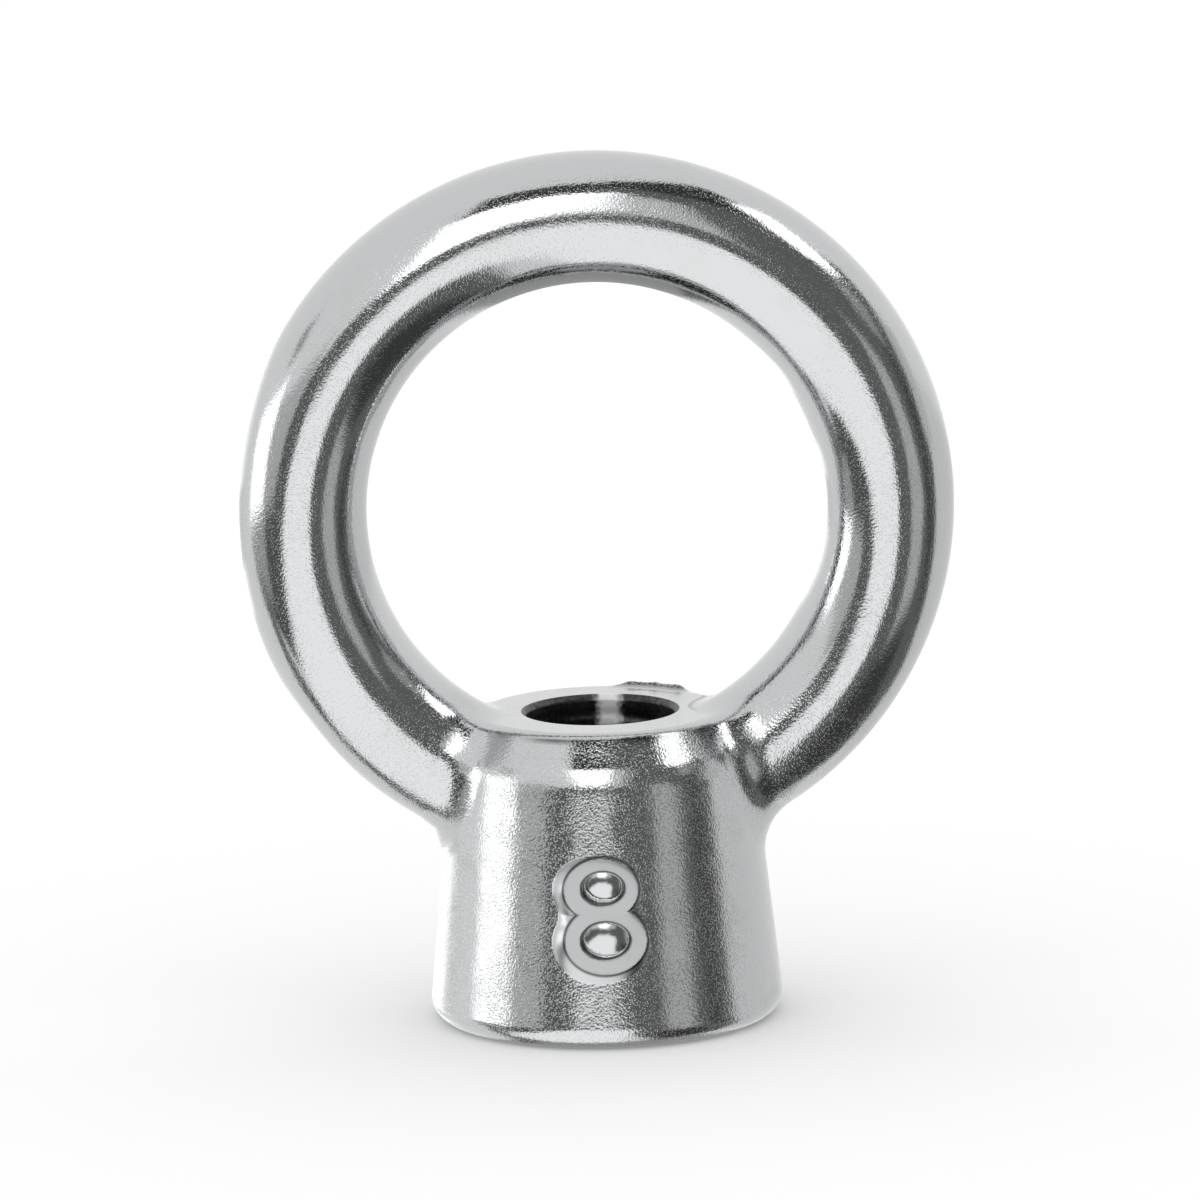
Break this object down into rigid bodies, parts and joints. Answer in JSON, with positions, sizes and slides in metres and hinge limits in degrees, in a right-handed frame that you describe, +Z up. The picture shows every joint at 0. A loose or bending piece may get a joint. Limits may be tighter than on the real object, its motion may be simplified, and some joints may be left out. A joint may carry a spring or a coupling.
{
  "type": "lifting eye nut",
  "caption": "Lifting eye nut cast in one piece: a round ring blended into a short flared hub with a through thread.",
  "frame": {"origin": "centre of the flat base face of the hub, on the axis of the thread", "axes": "+Z up along the thread, from the base towards the ring; the ring stands in the XZ plane; -Y is the front, where the size number stands on the hub"},
  "size_m": [0.0326, 0.016, 0.0397],
  "materials": {
    "polished_steel": "mirror polished, with a faint cast grain on the hub"
  },
  "bodies": {
    "root": {"eye_nut": "polished_steel"}
  },
  "joints": []
}
